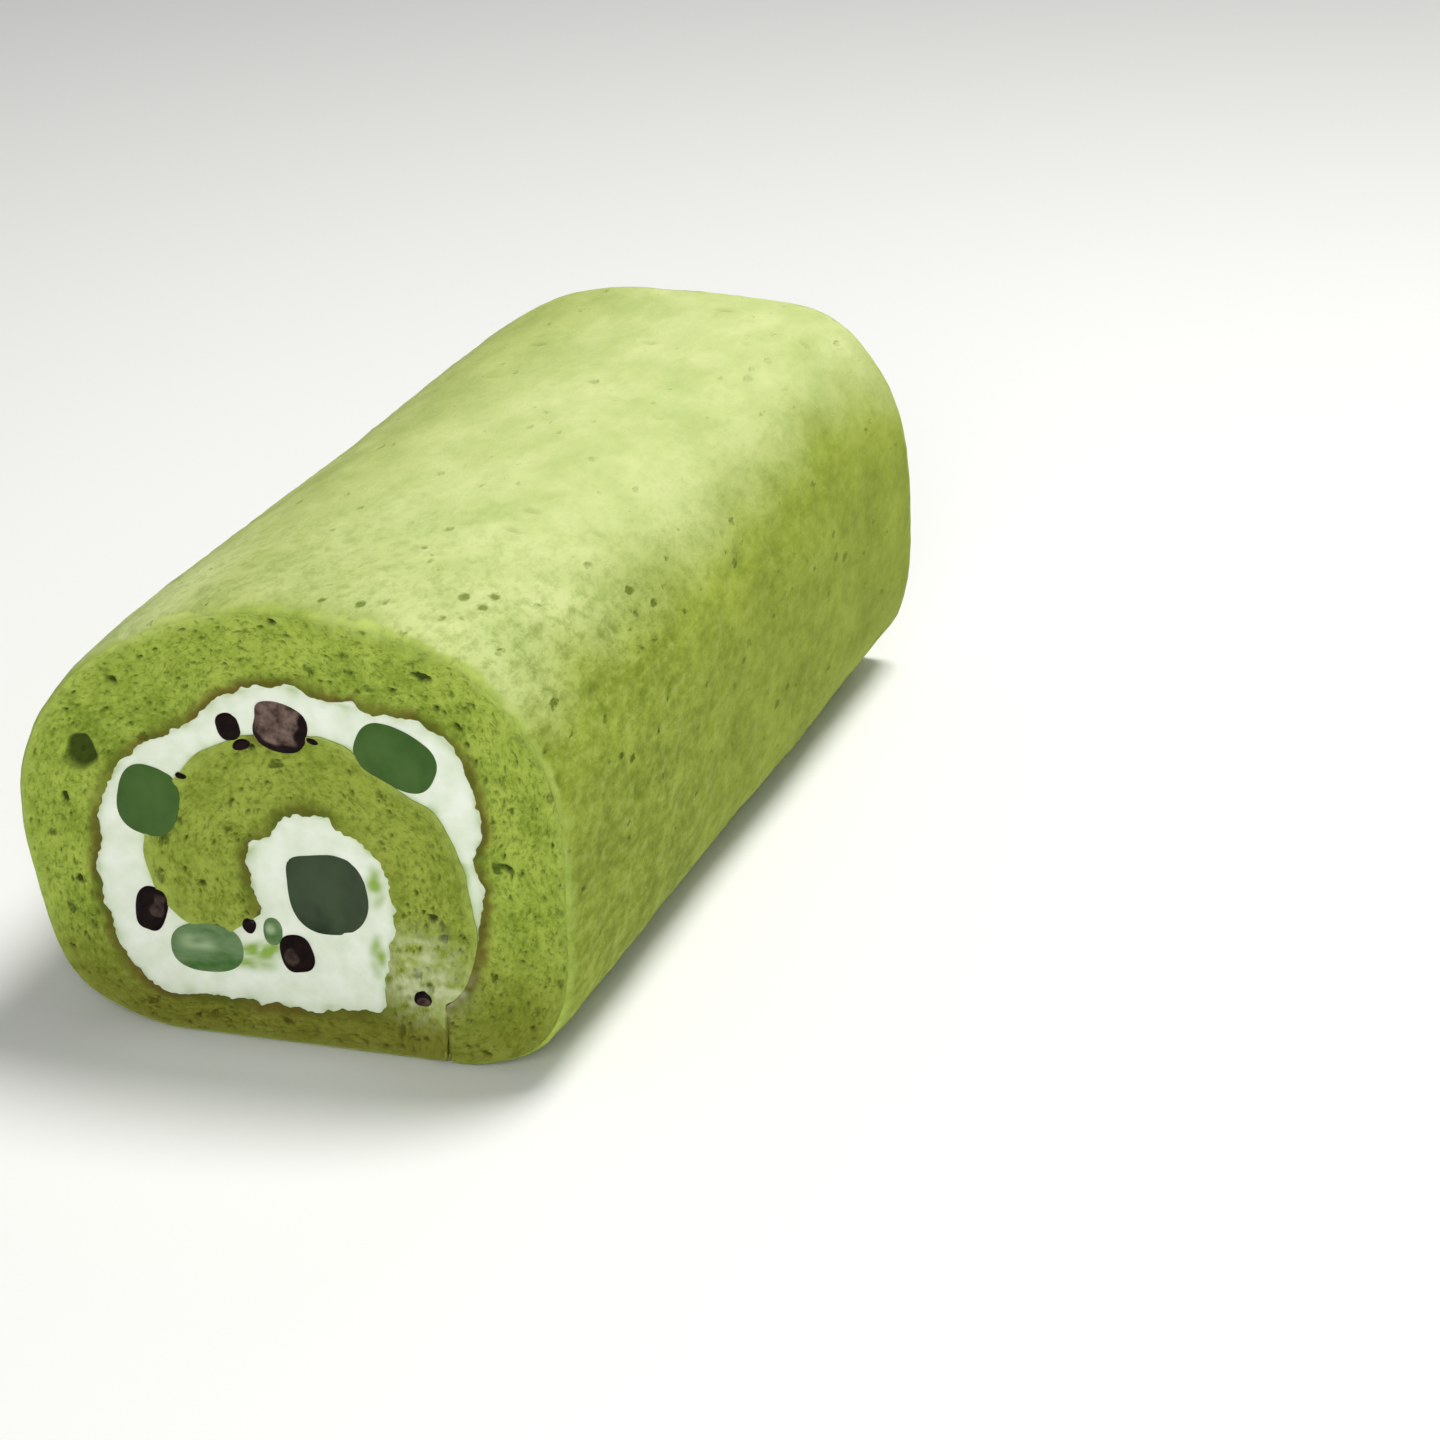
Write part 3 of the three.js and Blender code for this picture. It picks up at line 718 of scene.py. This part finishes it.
def makeSkin():
    cfg = spongeSkin
    mesh = skinShell(cfg)
    grid = coordsOf(mesh)
    inner = grid[:, 2] < -0.5
    turns = np.linspace(cfg["startTurn"], cfg["endTurn"], fineTurns)
    rim = sideAt(skinSide, turns)
    pace = lengthOf(np.gradient(rim, axis=0))
    pace *= np.where(rim[:, 1] < 0.5, 0.4, 1)  # the side it stands on needs few cells
    length = np.cumsum(pace)
    turn = np.interp((grid[:, 0] + 0.5) * (length[-1] - length[0]) + length[0], length, turns)
    rimPath = cfg["rimPath"]
    total = roll["length"] - 2 * (cfg["cutBack"] + cfg["rimDepth"]) + 2 * rimPath
    path = np.interp(grid[:, 1] + 0.5, [0, 0.025, 0.975, 1], [0, 2.6, total - 2.6, total])
    fromEnd = np.minimum(path, total - path)
    angle = np.minimum(fromEnd / rimPath, 1) * math.pi / 2
    depth = cfg["cutBack"] + cfg["rimDepth"] * (1 - np.cos(angle)) + np.maximum(0, fromEnd - rimPath)
    depth = np.where(inner, np.maximum(depth, 1.0), depth)
    inset = np.where(inner, cfg["thickness"], cfg["rimInset"] * (1 - np.sin(angle)))
    y = np.where(path < total / 2, depth - halfLength, halfLength - depth)
    base = sideAt(skinSide, turn)
    outward = outwardAt(skinSide, turn)
    points = np.stack([base[:, 0], y, base[:, 1]], -1)
    atEnd = np.abs(points) > halfLength - 1  # the rim swells just as the cut face does
    swell = skinSwell(np.where(atEnd, np.sign(points) * halfLength, points) * (0, 1, 0) + points * (1, 0, 1))
    dents = skinDimples(cfg, points)
    free = smooth01(base[:, 1], 0.3, 4) * ~inner
    lift = (swell - dents) * free - inset
    x, z = settle(base[:, 0] + outward[:, 0] * lift, y, base[:, 1] + outward[:, 1] * lift)
    setCoords(mesh, x, y, np.maximum(0, z))
    giveAttribute(mesh, "relief", dents * free)
    markSkin(mesh, cfg, points, turn, depth, np.degrees(np.arctan2(outward[:, 1], outward[:, 0])) % 360)
    finishPiece(mesh, "spongeSkin", skinMaterial(), ["sponge_sheet"], 70)


# The cream.

cream = {
    "along": 640,
    "across": 36,
    "layers": [-85, -83.5, -40, 40, 83.5, 85],
    "startTurn": -26,
    "endTurn": 588.8,
    "tuckOut": 1.4,  # how far the cream reaches in behind the sponge's torn edges
    "tuckIn": 0.9,
    "tints": [  # green rubbed off: x, z, radii, share
        (12.6, 25.5, 1.4, 3, 1.1), (-5.6, 13.8, 3.4, 1.2, 1.9), (-7.2, 11.8, 4, 1.2, 0.9),
        (-3.2, 14.8, 1.3, 1.6, 1.3), (12.4, 15, 1.2, 3, 1.1),
    ],
}


def creamGrid(cfg):  # its cells on the cut face, its breadth, and how deep each lies under the sponge
    start, n, m = cfg["startTurn"], cfg["along"], cfg["across"]
    turns = np.linspace(start, cfg["endTurn"], fineTurns)
    pace = lengthOf(np.gradient(sideAt(crustSide, turns), axis=0))
    length = np.cumsum(pace + np.where(turns > 584, 0.08, 0.004))
    turn = np.interp(np.linspace(length[0], length[-1], n + 1), length, turns)
    opening = smooth01(turn, -27, -8)
    outer = sideAt(crustSide, turn) + outwardAt(crustSide, turn) * (cfg["tuckOut"] * opening)[:, None]
    wrapped = np.minimum(turn + 360, sheetTip)
    inner = sideAt(skinSide, wrapped) - outwardAt(skinSide, wrapped) * (cfg["tuckIn"] * opening)[:, None]
    heartward = smooth01(turn, 225, 229)[:, None]  # past the sheet's tip the cream fills the heart
    inner = inner * (1 - heartward) + roll["heart"] * heartward
    v = np.linspace(0, 1, m + 1)[None, :, None]
    places = inner[:, None] * (1 - v) + outer[:, None] * v
    breadth = lengthOf(outer - inner)[:, None]
    fromOut = (1 - v[..., 0]) * breadth
    fromIn = np.where(turn[:, None] < 224.5, v[..., 0] * breadth, 9)
    under = 0.8 * falling(np.minimum(fromOut, fromIn + 0.3), 0.15, 0.6) * opening[:, None]
    slip = 0.02 * smooth01(turn, 585, 588)  # its end slips under its start
    return places, breadth, np.maximum(under, slip[:, None] + 0 * v[..., 0])


def borderDistance(places):  # from each cell to the nearest edge of the sponge, in mm
    tip = np.linspace(sideAt(crustSide, float(sheetTip)), sideAt(skinSide, float(sheetTip)), 12)
    crust = sideAt(crustSide, np.arange(cream["startTurn"], sheetTip, 0.7))
    border = np.concatenate([crust, sideAt(skinSide, np.arange(300, sheetTip, 0.7)), tip])
    return np.array([lengthOf(row[:, None] - border).min(axis=1) for row in places])


def makeCream():
    cfg = cream
    layers = np.array(cfg["layers"], float)
    mesh, i, j, layer = layeredGrid(cfg["along"], cfg["across"], len(layers))
    places, breadth, under = creamGrid(cfg)
    near = borderDistance(places)[i, j]
    face = places[i, j]
    y = layers[layer]
    flat = np.stack([face[:, 0], y, face[:, 1]], -1)
    shoulder = smooth01(near, 0.1, 1.9)
    sunk = 0.24 - 0.1 * shoulder + 0.12 * softNoise(flat, 5, 70) * shoulder
    sunk = sunk + 0.06 * softNoise(flat * (1, 1, 2.2), 1.8, 71)
    isEnd = (layer == 0) | (layer == len(layers) - 1)
    y = y - np.sign(y) * np.where(isEnd, sunk + under[i, j], 0)
    x, z = settle(face[:, 0], y, face[:, 1])
    setCoords(mesh, x, y, z)
    tint = np.zeros(len(x))
    for *patch, share in cfg["tints"]:
        tint = np.maximum(tint, share * (layer == 0) * patchAt(x, z, patch, 1.5))
    tint *= 0.75 + 0.5 * softNoise(flat, 1.6, 73)
    rubbed = 0.28 * np.exp(-near / 0.5) + 0.5 * np.maximum(0, softNoise(flat, 2.4, 72)) * np.exp(-near / 0.9)
    film = 0.4 * falling(breadth - 2.3, 0.7, 2.6)[i, 0]
    giveAttribute(mesh, "tint", np.clip(np.maximum(tint, rubbed + film) * isEnd, 0, 1))
    finishPiece(mesh, "creamFilling", creamMaterial(), ["cream_filling"])


# Lumps of jelly and beans, cut through by the knife. at is x and z, size is width, height and depth,
# corner is a turn and how far it sticks out, cut and spot say how much of a bean's inside shows, and
# where; on the front left and bottom beans the spot is partly a painted highlight. A piece of jelly is a
# plain one unless it has a kind.

lumps = {
    "jelly_front_heart": {
        "kind": "darkJelly", "at": (5.4, 23.8), "size": (12, 12.1, 8), "tilt": 4, "square": 2.4,
        "corner": (137, 0.15),
    },
    "jelly_front_upper_right": {"at": (16.6, 45.6), "size": (12.2, 8.2, 7), "tilt": -24, "square": 2.8},
    "jelly_front_left": {"at": (-21.3, 35.2), "size": (9.4, 10.6, 8), "tilt": -12, "square": 2.6},
    "jelly_front_lower_left": {
        "kind": "cloudyJelly", "at": (-13.7, 13.4), "size": (11.2, 7.5, 7), "tilt": 3, "square": 2.3,
    },
    "jelly_front_scrap": {
        "kind": "cloudyJelly", "at": (-3.3, 17.2), "size": (2.9, 4.2, 2.5), "square": 2.2,
    },
    "jelly_rear_heart": {
        "kind": "darkJelly", "at": (4.2, 21.6), "size": (12.8, 10.6, 8), "tilt": -20, "square": 2.5,
    },
    "jelly_rear_top": {"at": (-8.5, 47.6), "size": (12.2, 7.6, 7), "tilt": 18, "square": 2.4},
    "jelly_rear_left": {"at": (-24, 23.5), "size": (8.6, 10.8, 7), "tilt": 4, "square": 2.5},
    "bean_front_top_small": {"at": (-8.2, 47.7), "size": (3.4, 4.2, 5), "tilt": 10, "square": 2.8},
    "bean_front_top_large": {
        "at": (-0.2, 48.4), "size": (7.9, 7.1, 4), "tilt": -14, "square": 2.8, "corner": (152, 0.12),
        "cut": 1, "spot": (-0.16, 0.12, 0.94),
    },
    # On this bean and the next the spot is partly the mealy inside and partly a painted highlight.
    "bean_front_left": {
        "at": (-22, 18.5), "size": (5, 6.8, 4), "tilt": -14, "square": 2.6, "cut": 0.35,
        "spot": (0.4, 0.25, 0.5),
    },
    "bean_front_bottom": {
        "at": (0.2, 14.1), "size": (5, 5.6, 4), "tilt": 12, "square": 2.7, "cut": 0.35,
        "spot": (-0.35, -0.15, 0.5),
    },
    "bean_front_tip": {"at": (-6.9, 17.6), "size": (2.1, 2.3, 2), "square": 2},
    "bean_front_bend": {
        "at": (19, 9.5), "size": (2.6, 2.2, 2), "tilt": -8, "square": 2.2, "cut": 0.6,
        "spot": (0.2, -0.45, 0.75),
    },
    "bean_rear_top": {"at": (9.6, 48.4), "size": (6.6, 4.8, 4), "tilt": -8, "square": 2.3, "cut": 0.8},
    "bean_rear_right": {"at": (25, 40.4), "size": (4.6, 6, 4), "tilt": 20, "square": 2.3, "cut": 0.1},
    "bean_rear_bottom": {
        "at": (-15.5, 10.2), "size": (6.4, 4.8, 4), "tilt": -10, "square": 2.3, "cut": 0.3,
    },
    "bean_rear_heart": {"at": (6.4, 30.8), "size": (5.6, 4.4, 4), "tilt": 12, "square": 2.3},
}
scraps = {  # torn bits of bean skin left by the knife: x and z, size, tilt
    "beanScrap1-front": ((-6.4, 45.2), (2.8, 1.7, 1), 20),
    "beanScrap2-front": ((4.4, 46.8), (1.9, 0.9, 1), -15),
    "beanScrap3-front": ((-15.9, 39.5), (1.9, 0.9, 1), -4),
}
lumpForm = {
    "around": 72,  # cells
    "along": 40,
    "beanRoughness": 0.1,  # as a share of its size
    "jellyRoughness": 0.025,
    "cornerSpread": 17,  # degrees
    "proud": 0.22,  # how far the soft cut side swells out of the cream
    "sink": 0.06,  # and how far its border lies below the cut
}


def makeLump(name, cfg, index, material, slot, nodes):
    form = lumpForm
    isBean = slot == "bean"
    bm = bmesh.new()
    bmesh.ops.create_uvsphere(bm, u_segments=form["around"], v_segments=form["along"], radius=1)
    mesh = newMesh(name, bm)
    end = -1 if "front" in name else 1
    ball = coordsOf(mesh)  # its poles lie along the roll
    across = np.hypot(ball[:, 0], ball[:, 1])
    power = cfg["square"]
    square = (np.abs(ball[:, 0]) ** power + np.abs(ball[:, 1]) ** power) ** (1 / power)
    swell = np.where(square > 1e-6, across / np.maximum(1e-6, square), 1)
    angle = np.arctan2(ball[:, 1], ball[:, 0])
    around = np.stack([np.cos(angle), np.sin(angle), np.full(len(ball), index)], -1)
    rough = form["beanRoughness" if isBean else "jellyRoughness"]
    swell = swell * (1 + rough * softNoise(around, 1.1, index) * across)
    if "corner" in cfg:
        cornerTurn, cornerOut = cfg["corner"]
        off = (np.degrees(angle) - cornerTurn + 180) % 360 - 180
        swell = swell * (1 + cornerOut * np.exp(-((off / form["cornerSpread"]) ** 2)))
    cutSide = ball[:, 2] > 0
    width, tall, deep = cfg["size"]
    level, up = ball[:, 0] * swell * width / 2, ball[:, 1] * swell * tall / 2
    tilt = math.radians(cfg.get("tilt", 0))
    x = level * math.cos(tilt) - up * math.sin(tilt) + cfg["at"][0]
    z = level * math.sin(tilt) + up * math.cos(tilt) + cfg["at"][1]
    uneven = 0.06 * softNoise(np.stack([x, z, x * 0], -1), 2.2, index) * (1 - across**4)
    proud = form["proud"] * (1 - across**6) - form["sink"] + uneven
    y = end * (halfLength + np.where(cutSide, proud, -form["sink"] + deep * ball[:, 2]))
    x, z = settle(x, y, z)
    setCoords(mesh, x, y, z)
    if isBean:
        spotX, spotZ, spotReach = cfg.get("spot", (0, 0, 0.8))
        torn = 0.2 * softNoise(np.stack([x, z, x * 0], -1), 1.6, index + 9)
        spot = smooth01(spotReach - np.hypot(ball[:, 0] - spotX, ball[:, 1] - spotZ) + torn, 0, 0.15)
        giveAttribute(mesh, "inside", spot * cutSide * cfg.get("cut", 0))
    else:
        # Painted sheen: the cut face is lighter over a soft, streaked oval patch.
        sheenSpot = ((ball[:, 0] + 0.2) / 0.52) ** 2 + ((ball[:, 1] - 0.22) / 0.4) ** 2
        streaks = 0.8 + 0.5 * softNoise(np.stack([x * 0.4, y, z], -1), 1.1, index)
        giveAttribute(mesh, "jellySheen", np.clip(np.exp(-(sheenSpot**1.5)) * streaks, 0, 1) * cutSide)
    finishPiece(mesh, name.replace("_", "-"), material, nodes)


def makeLumps():
    finishes = {
        "jelly": jellyMaterial("slicedTeaJelly", "#36571d", "#436428", 240),
        "darkJelly": jellyMaterial("slicedDarkTeaJelly", "#18250f", "#3c4c33", 110),
        "cloudyJelly": jellyMaterial("slicedCloudyTeaJelly", "#3f672b", "#9bb086", 420, 0.35, (0.5, 1, 1.2)),
        "bean": beanMaterial(),
    }
    for index, (name, cfg) in enumerate(lumps.items()):
        slot = name.split("_")[0]
        makeLump(name, cfg, index, finishes[cfg.get("kind", slot)], slot, [name])
    for index, (name, (at, size, tilt)) in enumerate(scraps.items(), 30):
        cfg = {"at": at, "size": size, "tilt": tilt, "square": 2}
        makeLump(name, cfg, index, finishes["bean"], "bean", [])


# The studio and the camera.

studio = {
    "floor": "#f2f2f0",
    "floorSize": 3,
    "floorDrop": 0.0003,  # the floor lies this far below the roll
    "world": 0.2,
    "worldColour": (0.95, 0.98, 1, 1),
    "lights": [  # name, place, target, size, power, colour
        ("overheadSoftbox", (0.2, 0.22, 0.8), (0, 0, 0.03), 0.35, 6.1, (1, 0.99, 0.96)),
        ("frontFill", (0.2, -0.75, 0.34), (0, -0.08, 0.03), 0.35, 3, (1, 1, 1)),
        ("backdropLight", (0.1, 3.0, 0.9), (0.1, 2.6, 0), 1.2, 16, (1, 1, 1)),
    ],
    "lens": 105,
    "sensor": 36,
    "picture": 1440,  # pixels across
    "azimuth": 18.46,  # the camera stands to the right of the roll's axis
    "elevation": 21.47,
    "tilt": 1.18,
    "distance": 577.5,  # along the view, to the point on the cut face below
    "aimPoint": (0.67, -85, 31.3),
    "aimPixel": (293, 840),
}


def addLight(name, place, target, size, power, colour):
    lamp = bpy.data.lights.new(name, "AREA")
    lamp.shape, lamp.size, lamp.energy, lamp.color = "DISK", size, power, colour
    holder = bpy.data.objects.new(name, lamp)
    holder.location = place
    holder.rotation_euler = (Vector(target) - Vector(place)).to_track_quat("-Z", "Y").to_euler()
    scene.collection.objects.link(holder)


def makeStudio():
    bm = bmesh.new()
    bmesh.ops.create_grid(bm, x_segments=1, y_segments=1, size=studio["floorSize"])
    bmesh.ops.translate(bm, verts=bm.verts, vec=(0, 0, -studio["floorDrop"]))
    mesh = newMesh("floor", bm)
    floor = bpy.data.objects.new("floor", mesh)
    scene.collection.objects.link(floor)
    paper = newMaterial("paleBackdropPaper")
    look = {"Base Color": studio["floor"], "Roughness": 0.9, "Specular IOR Level": 0.1}
    addNode(paper, "OutputMaterial", [addNode(paper, "BsdfPrincipled", look)])
    mesh.materials.append(paper)
    world = bpy.data.worlds.new("softRoom")
    world.use_nodes = True
    background = world.node_tree.nodes["Background"]
    background.inputs["Color"].default_value = studio["worldColour"]
    background.inputs["Strength"].default_value = studio["world"]
    scene.world = world
    for light in studio["lights"]:
        addLight(*light)
    scene.view_settings.view_transform = "Standard"


def makeCamera():
    az, el, tilt = (math.radians(studio[key]) for key in ("azimuth", "elevation", "tilt"))
    ahead = Vector((-math.sin(az) * math.cos(el), math.cos(az) * math.cos(el), -math.sin(el)))
    level = Vector((math.cos(az), math.sin(az), 0))
    under = ahead.cross(level)
    right = math.cos(tilt) * level + math.sin(tilt) * under
    down = math.cos(tilt) * under - math.sin(tilt) * level
    focal = studio["lens"] / studio["sensor"] * studio["picture"]
    across, below = (pixel - studio["picture"] / 2 for pixel in studio["aimPixel"])
    ray = ahead + right * (across / focal) + down * (below / focal)
    place = Vector(studio["aimPoint"]) * mm - ray * studio["distance"] * mm
    camera = bpy.data.objects.new("camera", bpy.data.cameras.new("camera"))
    camera.data.lens = studio["lens"]
    camera.data.sensor_width = studio["sensor"]
    camera.data.clip_start = 0.01
    camera.matrix_world = Matrix.Translation(place) @ Matrix((right, -down, -ahead)).transposed().to_4x4()
    scene.collection.objects.link(camera)
    scene.camera = camera


makeCamera()
makeStudio()
print("camera and lights set")
makeSponge()
makeSkin()
makeCream()
makeLumps()
